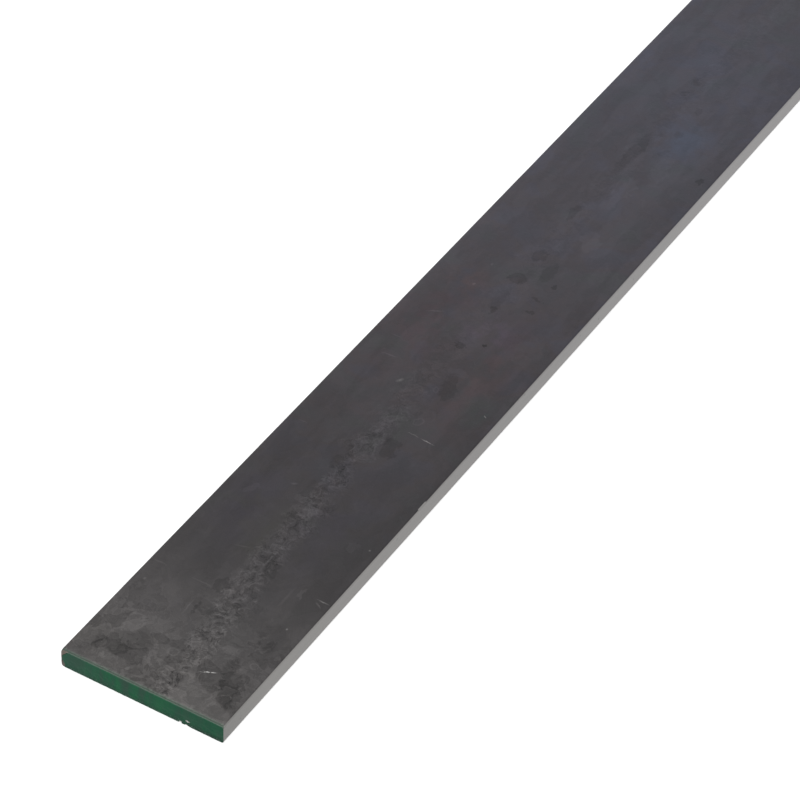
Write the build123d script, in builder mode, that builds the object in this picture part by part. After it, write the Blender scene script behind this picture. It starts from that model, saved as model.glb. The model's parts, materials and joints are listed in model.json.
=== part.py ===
from build123d import *
import os

# Hot-rolled steel flat bar, 1-1/2 in by 3/16 in, cut to 36 in, lying on its wide face.
# Millimetres. X runs along the bar and the painted end is at +X. Z = 0 is the floor.
# The origin is the centre of the underside.

bar_length = 914.4
bar_width = 38.1
bar_thickness = 4.7625

# The rolls leave small round corners.
corner_radius = 0.5

# A shear cuts both ends from above. The blade first drags the top edge down into a
# round roll-over and then leaves a straight burnished land. Below the land the steel
# tears off along a face that leans back towards the bar.
roll_over_reach = 0.55
roll_over_drop = 0.4
roll_over_lead = 0.05
land_height = 1.5
break_angle = 3.0

# Two bites are broken out of the lower edge of the painted end, side by side. Each is
# the mark of a ball whose centre stands off the end face and below the underside.
bite_centre = 9.7
bite_pitch = 1.65
bite_radii = (0.7, 0.75)
bite_drops = (0.05, 0.3)
bite_stand_off = 0.4

half_length = bar_length / 2
half_width = bar_width / 2
land_top = bar_thickness - roll_over_drop
land_bottom = land_top - land_height

# The waste of the shear only has to reach past the bar on every side.
waste_margin = bar_thickness


with BuildPart() as flat_bar:
    # The section: flat faces and flat narrow edges, with its corners rounded.
    with BuildSketch(Plane.YZ):
        with Locations((0, bar_thickness / 2)):
            RectangleRounded(bar_width, bar_thickness, corner_radius)
    extrude(amount=half_length, both=True)

    # The waste of the shear, drawn from the side and cut from both ends alike. The arc
    # of the roll-over starts a little above the bar, so that it cuts into the top face.
    with BuildSketch(Plane.XZ):
        with BuildLine():
            roll_over = ThreePointArc(
                (half_length - 2 * roll_over_reach, bar_thickness + roll_over_lead),
                (half_length - roll_over_reach, bar_thickness),
                (half_length, land_top),
            )
            land = Line(roll_over @ 1, (half_length, land_bottom))
            torn_face = PolarLine(
                land @ 1,
                land_bottom + waste_margin,
                angle=-90 - break_angle,
                length_mode=LengthMode.VERTICAL,
            )
            Polyline(
                torn_face @ 1,
                (half_length + waste_margin, -waste_margin),
                (half_length + waste_margin, bar_thickness + waste_margin),
                ((roll_over @ 0).X, bar_thickness + waste_margin),
                roll_over @ 0,
            )
        make_face()
        mirror(about=Plane.YZ)
    extrude(amount=half_width + waste_margin, both=True, mode=Mode.SUBTRACT)

    # The bites in the lower edge of the painted end.
    bite_places = (bite_centre - bite_pitch / 2, bite_centre + bite_pitch / 2)
    for place, radius, drop in zip(bite_places, bite_radii, bite_drops):
        with Locations((half_length + bite_stand_off, place, -drop)):
            Sphere(radius=radius, mode=Mode.SUBTRACT)

flat_bar.part.label = "flat_bar"

os.makedirs("parts", exist_ok=True)
export_step(flat_bar.part, "parts/flat_bar.step")
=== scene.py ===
"""Looks of the hot-rolled steel flat bar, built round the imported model.

The bar is modelled again with its round corners, sheared ends, torn bites and handling
marks, and a thin coat of green marking paint lies on the end at +X. Lengths are in
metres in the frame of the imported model, and the patterns of the finishes are in
millimetres.
"""

import json
import logging
import math
from collections.abc import Callable, Iterator
from contextlib import contextmanager
from dataclasses import dataclass, field
from enum import Enum

import bpy
import numpy as np
from mathutils import Matrix, Vector

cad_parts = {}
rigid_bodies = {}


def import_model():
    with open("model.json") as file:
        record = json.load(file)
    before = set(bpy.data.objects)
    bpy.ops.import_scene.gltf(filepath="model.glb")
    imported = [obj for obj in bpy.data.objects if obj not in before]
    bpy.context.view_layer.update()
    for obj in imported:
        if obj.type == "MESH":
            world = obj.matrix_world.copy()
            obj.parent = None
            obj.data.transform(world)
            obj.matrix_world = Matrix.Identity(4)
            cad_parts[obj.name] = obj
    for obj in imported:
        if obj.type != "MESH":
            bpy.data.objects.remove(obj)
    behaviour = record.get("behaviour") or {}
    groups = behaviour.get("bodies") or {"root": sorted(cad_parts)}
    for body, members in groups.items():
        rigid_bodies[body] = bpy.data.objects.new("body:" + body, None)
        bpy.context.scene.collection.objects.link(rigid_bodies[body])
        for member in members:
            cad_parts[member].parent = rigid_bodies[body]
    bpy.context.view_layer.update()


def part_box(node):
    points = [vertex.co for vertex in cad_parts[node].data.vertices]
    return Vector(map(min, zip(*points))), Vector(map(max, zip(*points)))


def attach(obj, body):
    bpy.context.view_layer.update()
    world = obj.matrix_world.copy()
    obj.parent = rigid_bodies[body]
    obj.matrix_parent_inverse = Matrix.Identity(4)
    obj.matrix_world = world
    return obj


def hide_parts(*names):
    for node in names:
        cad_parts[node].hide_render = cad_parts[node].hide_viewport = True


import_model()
MM = 0.001

# A Map Range node that eases in and out.
SMOOTH: dict[str, object] = {"interpolation_type": "SMOOTHSTEP"}
# A Mix node for colours, which takes them at inputs 6 and 7 and gives them at output 2.
COLOURS: dict[str, object] = {"data_type": "RGBA", "output": 2}

log = logging.getLogger("flat_bar")


class Element(Enum):
    """The kind of mesh element that a test picks, as Blender's select mode."""

    VERTEX = (True, False, False)
    EDGE = (False, True, False)
    FACE = (False, False, True)


def rows(elements: bpy.types.bpy_prop_collection, name: str) -> np.ndarray:
    """Reads a vector of all vertices or faces.

    Args:
        elements: The vertices or faces of a mesh.
        name: The vector's property, such as co or normal.

    Returns:
        One row of x, y and z for each element.
    """
    flat = np.empty(len(elements) * 3)
    elements.foreach_get(name, flat)
    return flat.reshape(-1, 3)


def everything(points: np.ndarray) -> np.ndarray:
    """Picks every vertex."""
    return np.ones(len(points), dtype=bool)


def select_only(piece: bpy.types.Object) -> None:
    """Selects one piece alone and makes it the active one."""
    bpy.ops.object.select_all(action="DESELECT")
    piece.select_set(True)
    bpy.context.view_layer.objects.active = piece


def drop_maps(mesh: bpy.types.Mesh) -> None:
    """Removes the maps left over from the shapes that a mesh was made of."""
    while mesh.uv_layers:
        mesh.uv_layers.remove(mesh.uv_layers[0])


def chosen_elements(
    mesh: bpy.types.Mesh, element: Element, test: Callable[..., np.ndarray]
) -> np.ndarray:
    """Runs a test over all elements of one kind.

    Args:
        mesh: The mesh to read.
        element: The kind of element.
        test: Takes vertex places, or both ends of edges, or face centres and normals.

    Returns:
        One truth value for each element.
    """
    corner = rows(mesh.vertices, "co")
    if element is Element.VERTEX:
        return test(corner)
    if element is Element.EDGE:
        ends = np.empty(len(mesh.edges) * 2, dtype=np.int64)
        mesh.edges.foreach_get("vertices", ends)
        ends = ends.reshape(-1, 2)
        return test(corner[ends[:, 0]], corner[ends[:, 1]])
    return test(rows(mesh.polygons, "center"), rows(mesh.polygons, "normal"))


@contextmanager
def picked(
    piece: bpy.types.Object, element: Element, test: Callable[..., np.ndarray]
) -> Iterator[int]:
    """Opens a piece in edit mode with the elements that pass a test selected.

    Args:
        piece: The mesh object to edit.
        element: The kind of element to select.
        test: The test that chosen_elements runs.

    Yields:
        How many elements are selected.
    """
    select_only(piece)
    mesh = piece.data
    chosen = chosen_elements(mesh, element, test)
    for elements, kind in (
        (mesh.vertices, Element.VERTEX),
        (mesh.edges, Element.EDGE),
        (mesh.polygons, Element.FACE),
    ):
        flags = chosen if kind is element else np.zeros(len(elements), dtype=bool)
        elements.foreach_set("select", flags)
    bpy.context.tool_settings.mesh_select_mode = element.value
    bpy.ops.object.mode_set(mode="EDIT")
    try:
        yield int(chosen.sum())
    finally:
        bpy.ops.object.mode_set(mode="OBJECT")


def near(value: np.ndarray, target: float, reach: float = 1e-6) -> np.ndarray:
    """Says where a coordinate lies at a target, to within a reach."""
    return np.abs(value - target) < reach


def linear(colour: str) -> tuple[float, float, float, float]:
    """Turns an sRGB hex colour into the linear colour that a shader takes.

    Args:
        colour: Six hex digits with a leading hash.

    Returns:
        Red, green, blue and a full alpha.
    """
    parts = [int(colour[i : i + 2], 16) / 255 for i in (1, 3, 5)]
    red, green, blue = (
        c / 12.92 if c <= 0.04045 else ((c + 0.055) / 1.055) ** 2.4 for c in parts
    )
    return red, green, blue, 1.0


def add_node(
    tree: bpy.types.NodeTree,
    kind: str,
    inputs: dict[str | int, object] | tuple[object, ...] = (),
    output: str | int = 0,
    stops: tuple[tuple[float, str], ...] = (),
    **settings: object,
) -> bpy.types.NodeSocket | None:
    """Adds a node with its settings and links.

    Args:
        tree: The node tree that the node joins.
        kind: The node's type, without ShaderNode in front.
        inputs: What its inputs get, in their order or by name or number. A socket is
            linked, and a number, a vector or an sRGB hex value is set.
        output: The output to give back, by name or number.
        stops: The places and sRGB hex values of a row of tints.
        settings: The node's properties by name.

    Returns:
        The output, or nothing where the node has none.
    """
    node = tree.nodes.new("ShaderNode" + kind)
    for name, value in settings.items():
        setattr(node, name, value)
    terms = inputs if isinstance(inputs, dict) else dict(enumerate(inputs))
    for name, term in terms.items():
        if isinstance(term, bpy.types.NodeSocket):
            tree.links.new(term, node.inputs[name])
        else:
            node.inputs[name].default_value = linear(term) if isinstance(term, str) else term
    for i, (place, colour) in enumerate(stops):
        elements = node.color_ramp.elements
        stop = elements[i] if i < len(elements) else elements.new(place)
        stop.position, stop.color = place, linear(colour)
    return node.outputs[output] if node.outputs else None


def apply_modifier(piece: bpy.types.Object, kind: str, **settings: object) -> None:
    """Adds a modifier to a piece with its settings and applies it.

    Args:
        piece: The mesh object.
        kind: The modifier's type.
        settings: The modifier's properties by name.
    """
    select_only(piece)
    modifier = piece.modifiers.new(kind.title(), kind)
    for name, value in settings.items():
        setattr(modifier, name, value)
    bpy.ops.object.modifier_apply(modifier=modifier.name)


class Shade:
    """A material under construction, with the helpers that its patterns share."""

    def __init__(self, name: str) -> None:
        """Starts an empty material.

        Args:
            name: The material's name.
        """
        self.material = bpy.data.materials.new(name)
        self.material.use_nodes = True
        self.tree = self.material.node_tree
        self.tree.nodes.clear()
        place = self.add("TexCoord", output="Object")
        self.mm = self.add("Mapping", {"Vector": place, "Scale": (1 / MM, 1 / MM, 1 / MM)})
        self.x, self.y, self.z = self.add("SeparateXYZ", (self.mm,)).node.outputs

    def add(
        self, kind: str, inputs: dict | tuple = (), **settings: object
    ) -> bpy.types.NodeSocket:
        """Adds a node to this material's tree, as add_node does."""
        return add_node(self.tree, kind, inputs, **settings)

    def grain(
        self,
        size: float,
        detail: float = 4.0,
        roughness: float = 0.55,
        distortion: float = 0.0,
        stretch: tuple[float, float, float] = (1.0, 1.0, 1.0),
        shift: float = 0.0,
    ) -> bpy.types.NodeSocket:
        """Adds a cloudy pattern.

        Args:
            size: The size of its largest clouds in millimetres.
            detail: How many finer octaves it has.
            roughness: How strong the finer octaves are.
            distortion: How much it swirls.
            stretch: How much longer the clouds are along x, y and z.
            shift: Moves the pattern, in millimetres, so that two differ.

        Returns:
            A number from 0 to 1 that averages 0.5.
        """
        scale = tuple(1 / (size * s) for s in stretch)
        place = (shift, 0.7 * shift, 0.3 * shift)
        moved = self.add("Mapping", {"Vector": self.mm, "Location": place, "Scale": scale})
        octaves = {"Detail": detail, "Roughness": roughness, "Distortion": distortion}
        return self.add("TexNoise", {"Vector": moved, "Scale": 1.0, **octaves})

    def step(self, value: bpy.types.NodeSocket) -> bpy.types.NodeSocket:
        """Turns a cloudy pattern into flat islands with a stepped rim.

        Args:
            value: The pattern, from 0 to 1.

        Returns:
            Below 0 off the islands and above 0 on them, with a painted shadow darkest in the
            recess beside the rim and a painted highlight palest on the rim itself.
        """
        # A painted shadow in the recess before the step, and a painted highlight on the rim past
        # it.
        step = self.add("MapRange", (value, 0.485, 0.515, -0.34, 0.3), **SMOOTH)
        outside = self.add("MapRange", (value, 0.42, 0.485, 0.2, 0.0), **SMOOTH)
        inside = self.add("MapRange", (value, 0.515, 0.56, 0.0, -0.16), **SMOOTH)
        step = self.add("Math", (step, outside), operation="ADD")
        return self.add("Math", (step, inside), operation="ADD")

    def ridge(
        self, value: bpy.types.NodeSocket, crest: float, reach: float
    ) -> bpy.types.NodeSocket:
        """Picks out the places where a pattern is near one level.

        Args:
            value: The pattern, from 0 to 1.
            crest: The level.
            reach: How far from the level the ridge falls to nothing.

        Returns:
            1 on the crest and 0 away from it.
        """
        off = self.add("Math", (value, crest), operation="SUBTRACT")
        off = self.add("Math", (off,), operation="ABSOLUTE")
        return self.add("MapRange", (off, 0.0, reach, 1.0, 0.0), **SMOOTH)

    def finish(
        self,
        colour: bpy.types.NodeSocket,
        roughness: bpy.types.NodeSocket,
        height: bpy.types.NodeSocket,
        depth: float,
        constants: dict[str | int, object],
    ) -> bpy.types.Material:
        """Joins the patterns to the shader.

        Args:
            colour: The base colour.
            roughness: The roughness.
            height: The relief, from 0 to 1.
            depth: The depth of the relief in millimetres.
            constants: The shader's inputs that are the same all over.

        Returns:
            The finished material.
        """
        relief = {"Strength": 1.0, "Distance": depth * MM, "Height": height}
        bump = self.add("Bump", relief)
        patterns = {"Base Color": colour, "Roughness": roughness, "Normal": bump}
        self.add("OutputMaterial", (self.add("BsdfPrincipled", {**constants, **patterns}),))
        return self.material


class Outline(Enum):
    """How a mark on the scale is bounded."""

    ISLAND = "a soft island with a ragged rim"
    LINE = "a thin line or dot"
    RING = "a small crater with a pale rim"
    SCUFF = "a scuff down to bare steel"


@dataclass(frozen=True)
class Mark:
    """A place on the top face that is lighter or darker than the scale round it.

    Sizes are in millimetres.

    Attributes:
        outline: How it is bounded.
        from_end: The distance of its middle from the painted end.
        across: Its middle across the bar.
        length: Its size along the bar, before it is turned.
        width: Its size across the bar, before it is turned.
        lift: How much lighter it is than the scale, as a share, or darker below 0. On a
            scuff, how much bare steel shows.
        turn: Its turn from the bar's length, in degrees.
    """

    outline: Outline
    from_end: float
    across: float
    length: float
    width: float
    lift: float
    turn: float = 0.0


MARKS = (
    # Islands of lighter and darker scale behind the painted end.
    Mark(Outline.ISLAND, 1.8, -9.5, 6.0, 12.0, 0.20),
    Mark(Outline.ISLAND, 14.0, -11.5, 5.5, 5.0, 0.24),
    Mark(Outline.ISLAND, 16.2, -7.0, 4.5, 8.0, 0.14),
    Mark(Outline.ISLAND, 6.4, -11.5, 9.5, 5.0, -0.20, -62.0),
    Mark(Outline.ISLAND, 10.4, -7.2, 4.8, 6.5, -0.14),
    Mark(Outline.ISLAND, 9.0, -2.2, 7.5, 4.6, 0.14),
    Mark(Outline.ISLAND, 5.4, 4.0, 4.8, 4.6, -0.16),
    Mark(Outline.ISLAND, 11.0, 13.5, 17.0, 4.0, -0.20, 24.0),
    Mark(Outline.ISLAND, 13.3, 14.3, 6.2, 2.6, 0.16, 8.0),
    Mark(Outline.ISLAND, 18.2, 9.0, 2.7, 4.6, 0.20),
    Mark(Outline.LINE, 20.1, 8.8, 0.8, 5.0, -0.16),
    Mark(Outline.ISLAND, 24.5, -3.7, 5.6, 1.3, -0.20),
    Mark(Outline.ISLAND, 26.0, 14.0, 9.0, 6.0, -0.08),
    Mark(Outline.ISLAND, 24.0, -12.0, 8.0, 7.0, 0.05),
    # The rucked band: lumps, and hollows between them.
    Mark(Outline.ISLAND, 31.2, -0.2, 3.0, 3.0, 0.24),
    Mark(Outline.ISLAND, 32.8, -2.4, 5.0, 3.0, -0.20),
    Mark(Outline.ISLAND, 38.5, -1.2, 10.0, 3.4, 0.12),
    Mark(Outline.ISLAND, 42.3, 3.6, 6.0, 2.6, -0.16),
    Mark(Outline.ISLAND, 56.3, -0.6, 4.6, 4.0, -0.14),
    Mark(Outline.ISLAND, 60.3, -0.6, 4.0, 6.2, 0.20, 25.0),
    Mark(Outline.ISLAND, 78.5, -1.6, 9.0, 4.0, -0.10),
    Mark(Outline.ISLAND, 86.6, 4.2, 6.2, 4.4, -0.16),
    Mark(Outline.ISLAND, 92.0, -2.0, 9.0, 5.0, 0.07),
    Mark(Outline.ISLAND, 99.5, 5.6, 6.0, 3.4, 0.08),
    Mark(Outline.ISLAND, 110.5, 4.9, 10.0, 3.8, -0.14, 12.0),
    Mark(Outline.ISLAND, 115.6, 4.0, 4.2, 3.6, 0.10),
    Mark(Outline.ISLAND, 60.4, -13.0, 2.6, 2.8, 0.14, -20.0),
    Mark(Outline.ISLAND, 57.0, 13.6, 2.4, 3.0, 0.12, 25.0),
    # Round spots where the scale blistered.
    Mark(Outline.ISLAND, 123.8, -0.3, 2.3, 1.6, -0.22),
    Mark(Outline.ISLAND, 126.8, 4.5, 1.5, 1.3, -0.36),
    Mark(Outline.ISLAND, 138.0, -0.5, 3.0, 1.6, -0.20),
    Mark(Outline.ISLAND, 141.7, 6.6, 1.5, 1.3, -0.20),
    Mark(Outline.ISLAND, 146.3, 6.0, 2.2, 1.5, -0.16, 30.0),
    Mark(Outline.ISLAND, 150.7, -1.4, 4.2, 4.4, -0.18),
    Mark(Outline.ISLAND, 152.3, 7.0, 1.5, 1.3, -0.22),
    Mark(Outline.ISLAND, 156.0, 3.6, 7.0, 2.0, -0.10),
    Mark(Outline.ISLAND, 160.0, -1.0, 5.4, 3.6, -0.15),
    Mark(Outline.ISLAND, 178.0, -2.4, 7.5, 2.4, -0.13, 10.0),
    Mark(Outline.ISLAND, 204.0, 16.0, 2.4, 1.3, -0.20),
    Mark(Outline.ISLAND, 209.2, 4.5, 3.0, 2.2, -0.10),
    Mark(Outline.ISLAND, 217.4, 3.8, 2.6, 2.2, -0.10),
    Mark(Outline.ISLAND, 227.9, 3.5, 3.0, 2.4, -0.12),
    Mark(Outline.ISLAND, 232.7, -2.5, 2.6, 2.2, -0.12),
    Mark(Outline.ISLAND, 237.9, -1.8, 2.6, 2.2, -0.12),
    # Long soft streaks that the rolls drew out.
    Mark(Outline.ISLAND, 146.0, 2.0, 15.0, 5.0, 0.07),
    Mark(Outline.ISLAND, 171.2, 5.6, 8.0, 4.8, 0.11, 15.0),
    Mark(Outline.ISLAND, 190.0, 3.2, 15.0, 3.8, 0.11, -4.0),
    Mark(Outline.ISLAND, 202.0, 7.0, 12.0, 3.0, 0.08, 8.0),
    Mark(Outline.ISLAND, 205.0, -1.8, 20.0, 2.8, -0.10),
    # Fine lines and dots.
    Mark(Outline.LINE, 24.2, -4.9, 6.0, 0.5, 0.26, 3.0),
    Mark(Outline.LINE, 31.2, -6.2, 0.45, 6.4, 0.24),
    Mark(Outline.LINE, 31.4, -16.6, 0.5, 4.0, 0.24),
    Mark(Outline.LINE, 37.0, 10.1, 8.5, 0.8, 0.18),
    Mark(Outline.ISLAND, 39.5, 12.2, 3.4, 1.3, 0.20),
    Mark(Outline.LINE, 44.6, -5.0, 0.6, 5.0, 0.22, 16.0),
    Mark(Outline.LINE, 45.0, 1.4, 14.5, 0.45, 0.26),
    Mark(Outline.LINE, 25.7, -16.5, 0.9, 0.6, 0.40),
    Mark(Outline.LINE, 66.3, -6.5, 0.8, 1.8, 0.40, 25.0),
    Mark(Outline.LINE, 83.8, -15.3, 0.5, 2.6, 0.22),
    Mark(Outline.LINE, 112.5, -11.3, 0.5, 4.6, 0.34, 4.0),
    Mark(Outline.LINE, 118.8, -13.3, 0.5, 2.8, 0.20),
    Mark(Outline.LINE, 130.7, -10.6, 0.55, 5.0, 0.30, 33.0),
    Mark(Outline.ISLAND, 143.3, -8.4, 1.4, 1.0, 0.34),
    Mark(Outline.LINE, 151.7, -8.4, 1.2, 0.9, 0.24),
    # Small craters where flakes came off.
    Mark(Outline.RING, 11.6, -0.3, 2.4, 2.8, 0.20),
    Mark(Outline.RING, 17.0, 15.2, 2.0, 2.0, 0.24),
    Mark(Outline.RING, 28.7, 4.6, 1.8, 1.6, 0.24),
    Mark(Outline.RING, 31.6, -0.8, 2.2, 2.4, 0.22),
    Mark(Outline.RING, 21.0, 4.3, 3.0, 3.4, 0.20, 20.0),
    Mark(Outline.RING, 97.3, 5.0, 3.0, 2.2, 0.18, -20.0),
    Mark(Outline.RING, 108.2, 2.8, 2.2, 1.2, 0.18, 20.0),
    # Scuffs and flecks of bare steel.
    Mark(Outline.SCUFF, 10.7, 8.6, 4.2, 0.40, 0.80, -64.0),
    Mark(Outline.SCUFF, 39.9, 17.0, 3.6, 0.40, 0.18, 88.0),
    Mark(Outline.SCUFF, 92.9, 9.9, 4.2, 0.34, 0.32, 87.0),
    Mark(Outline.SCUFF, 93.2, 6.2, 3.4, 0.30, 0.18, 85.0),
    Mark(Outline.SCUFF, 106.6, 15.9, 1.2, 0.35, 0.26, 50.0),
    Mark(Outline.SCUFF, 106.6, -5.2, 2.2, 1.1, 0.12, -30.0),
    Mark(Outline.SCUFF, 29.3, 15.0, 0.7, 0.6, 0.20),
    Mark(Outline.SCUFF, 57.8, 16.9, 0.7, 0.6, 0.16),
    Mark(Outline.SCUFF, 38.6, 16.6, 0.5, 2.4, 0.08, -35.0),
)


@dataclass(frozen=True)
class Bloom:
    """A soft cloud of temper colour on the scale, in millimetres.

    Attributes:
        from_end: The distance of its middle from the painted end.
        across: Its middle across the bar.
        length: Its size along the bar.
        width: Its size across the bar.
        colour: Its colour in the middle, as an sRGB hex value.
    """

    from_end: float
    across: float
    length: float
    width: float
    colour: str


BLOOMS = (
    Bloom(58.0, -11.0, 44.0, 18.0, "#38353C"),
    Bloom(50.0, -4.0, 30.0, 7.0, "#3A3936"),
    Bloom(62.0, 8.0, 50.0, 18.0, "#3A373D"),
    Bloom(107.0, 13.5, 14.0, 8.0, "#36403F"),
    Bloom(118.0, 9.0, 56.0, 14.0, "#44383B"),
    Bloom(128.0, -10.0, 50.0, 20.0, "#45393E"),
    Bloom(131.0, 3.5, 20.0, 17.0, "#473F4B"),
    Bloom(144.0, -10.0, 12.0, 12.0, "#4B3F40"),
    Bloom(216.0, 6.0, 26.0, 18.0, "#434A5A"),
)


@dataclass(frozen=True)
class MillScale:
    """The oxide skin of the two wide faces, hot-rolled mild steel as it leaves the mill.

    Dark, satin and blotched: warm grey islands of flaked scale behind the painted end, a
    rucked band along the middle, and bluish and brown clouds further on.

    Attributes:
        half_length: Half the bar's length in millimetres.
        thickness: The bar's thickness in millimetres.
        bloom_depth: The height of a temper cloud, more than the bar's, in millimetres.
        island_edge: Where an island starts to fade and ends, as shares of its half size.
        ring_crest: Where a crater's rim lies and how far it reaches, as such shares.
        mark_strength: What strengthens all marks together.
        line_strength: What makes up for a line being palest in its middle alone.
        scuff_strength: The same for a scuff.
    """

    half_length: float
    thickness: float
    bloom_depth: float = 80.0
    island_edge: tuple[float, float] = (0.8, 1.06)
    ring_crest: tuple[float, float] = (0.8, 0.26)
    mark_strength: float = 1.35
    line_strength: float = 1.4
    scuff_strength: float = 1.6
    name: str = "mill_scale_on_hot_rolled_steel"

    def tint_and_painted_sheen(self, shade: Shade, along: bpy.types.NodeSocket) -> bpy.types.NodeSocket:
        """Colours the scale along the bar, with a painted sheen of reflected light that is palest
        at the painted end and darkest some 90 mm in, and clouds it with temper colours further
        on.

        Args:
            shade: The material under construction.
            along: The distance from the painted end.

        Returns:
            The tint.
        """
        wander = shade.grain(22.0, detail=2.0, shift=40.0)
        place = shade.add("Math", (wander, 20.0, along), operation="MULTIPLY_ADD")
        place = shade.add("MapRange", (place, 10.0, 250.0))
        # Painted sheen over the scale's own tone: palest at the painted end, darkest in the
        # middle, bluish further on.
        tint = shade.add(
            "ValToRGB",
            (place,),
            stops=(
                (0.0, "#4A4847"),
                (0.08, "#464444"),
                (0.17, "#393738"),
                (0.32, "#353335"),
                (0.5, "#3C393D"),
                (0.72, "#414047"),
                (1.0, "#424450"),
            ),
        )
        # Further on, warm and bluish stretches take turns.
        stretches = shade.grain(70.0, detail=3.0, stretch=(1.8, 0.7, 1.0))
        warm = shade.add("MapRange", (stretches, 0.4, 0.58), **SMOOTH)
        further_on = shade.add("MapRange", (along, 235.0, 330.0, 0.0, 0.9), **SMOOTH)
        warm = shade.add("Math", (warm, further_on), operation="MULTIPLY")
        tint = shade.add("Mix", {0: warm, 6: tint, 7: "#3F3C3E"}, **COLOURS)

        # Temper colours show where the scale is thin: plum, rust brown, sea green.
        hue = shade.add(
            "ValToRGB",
            (shade.grain(9.0, detail=4.0, roughness=0.5, distortion=0.5, shift=150.0),),
            stops=(
                (0.3, "#3B3E3D"),
                (0.42, "#3E3C40"),
                (0.52, "#413A3C"),
                (0.62, "#3F3C45"),
                (0.74, "#3D3F48"),
            ),
        )
        some = shade.add("MapRange", (along, 30.0, 120.0, 0.05, 0.4), **SMOOTH)
        tint = shade.add("Mix", {0: some, 6: tint, 7: hue}, **COLOURS)
        patches = shade.grain(5.0, detail=4.0, shift=205.0)
        patchy = shade.add("MapRange", (patches, 0.36, 0.62, 0.0, 0.75), **SMOOTH)
        for bloom in BLOOMS:
            local = shade.add(
                "Mapping",
                {
                    "Vector": shade.mm,
                    "Location": (self.half_length - bloom.from_end, bloom.across, 0.0),
                    "Scale": (bloom.length / 2, bloom.width / 2, self.bloom_depth / 2),
                },
                vector_type="TEXTURE",
            )
            cone = shade.add(
                "TexGradient", {"Vector": local}, output=1, gradient_type="SPHERICAL"
            )
            cover = shade.add("Math", (cone, patchy), operation="MULTIPLY")
            tint = shade.add("Mix", {0: cover, 6: tint, 7: bloom.colour}, **COLOURS)
        return tint

    def rucked_band(
        self, shade: Shade, along: bpy.types.NodeSocket
    ) -> bpy.types.NodeSocket:
        """Marks the band along the middle where the scale is rucked and flaked.

        Args:
            shade: The material under construction.
            along: The distance from the painted end.

        Returns:
            A number from 0 outside the band to 1 inside it.
        """
        middle = shade.add("MapRange", (along, 8.0, 80.0, 3.5, -0.8))
        off = shade.add("Math", (shade.y, middle), operation="SUBTRACT")
        off = shade.add("Math", (off,), operation="ABSOLUTE")
        sway = shade.grain(7.0, detail=3.0, distortion=0.6, shift=11.0)
        off = shade.add("Math", (sway, 10.0, off), operation="MULTIPLY_ADD")
        band = shade.add("MapRange", (off, 6.0, 9.5, 1.0, 0.0), **SMOOTH)
        fade = shade.add("MapRange", (along, 70.0, 130.0, 1.0, 0.15), **SMOOTH)
        return shade.add("Math", (band, fade), operation="MULTIPLY")

    def placed_marks(
        self, shade: Shade
    ) -> tuple[bpy.types.NodeSocket, bpy.types.NodeSocket]:
        """Lays down the islands, lines and scuffs of the top face.

        Args:
            shade: The material under construction.

        Returns:
            How much lighter the scale is, and how much bare steel shows.
        """
        flat = shade.add("VectorMath", (shade.mm, (1.0, 1.0, 0.0)), operation="MULTIPLY")

        def wavered(size: float, reach: float) -> bpy.types.NodeSocket:
            """Shifts the surface about, so that outlines on it are ragged.

            Args:
                size: The size of the shifts' pattern in millimetres.
                reach: The longest shift in millimetres.

            Returns:
                The shifted place.
            """
            noise = shade.add(
                "TexNoise",
                {"Vector": shade.mm, "Scale": 1 / size, "Detail": 3.0, "Roughness": 0.6},
                output="Color",
            )
            centred = shade.add(
                "VectorMath",
                (noise, (4 * reach, 4 * reach, 0.0), (-2 * reach, -2 * reach, 0.0)),
                operation="MULTIPLY_ADD",
            )
            return shade.add("VectorMath", (flat, centred), operation="ADD")

        ragged, steady = wavered(3.0, 1.3), wavered(1.0, 0.16)
        lift: bpy.types.NodeSocket | float = 0.0
        scuff: bpy.types.NodeSocket | float = 0.0
        for mark in MARKS:
            local = shade.add(
                "Mapping",
                {
                    "Vector": ragged if mark.outline is Outline.ISLAND else steady,
                    "Location": (self.half_length - mark.from_end, mark.across, 0.0),
                    "Rotation": (0.0, 0.0, math.radians(mark.turn)),
                    "Scale": (mark.length / 2, mark.width / 2, 1.0),
                },
                vector_type="TEXTURE",
            )
            if mark.outline in (Outline.LINE, Outline.SCUFF):
                cone = shade.add(
                    "TexGradient", {"Vector": local}, output=1, gradient_type="SPHERICAL"
                )
                if mark.outline is Outline.LINE:
                    strength = self.line_strength * mark.lift
                    lift = shade.add("Math", (cone, strength, lift), operation="MULTIPLY_ADD")
                else:
                    strength = self.scuff_strength * mark.lift
                    scuff = shade.add("Math", (cone, strength, scuff), operation="MULTIPLY_ADD")
                continue
            away = shade.add("VectorMath", (local,), output="Value", operation="LENGTH")
            if mark.outline is Outline.RING:
                rim = shade.ridge(away, *self.ring_crest)
                change = shade.add("Math", (rim, mark.lift), operation="MULTIPLY")
            else:
                change = shade.add(
                    "MapRange", (away, *self.island_edge, mark.lift, 0.0), **SMOOTH
                )
            lift = shade.add("Math", (lift, change), operation="ADD")
        # The marks are on the top face alone, and end half-way down the narrow edges.
        under, over = 0.4 * self.thickness, 0.6 * self.thickness
        top = shade.add("MapRange", (shade.z, under, over), **SMOOTH)
        gaps = shade.grain(0.7, detail=2.0, shift=5.0)
        broken = shade.add("MapRange", (gaps, 0.28, 0.5, 0.15, 1.0), **SMOOTH)
        shown = shade.add("Math", (broken, top), operation="MULTIPLY")
        scuff = shade.add("Math", (scuff, shown), operation="MULTIPLY", use_clamp=True)
        top = shade.add("MapRange", (shade.z, under, over, 0.0, self.mark_strength), **SMOOTH)
        lift = shade.add("Math", (lift, top), operation="MULTIPLY")
        return lift, scuff

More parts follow.
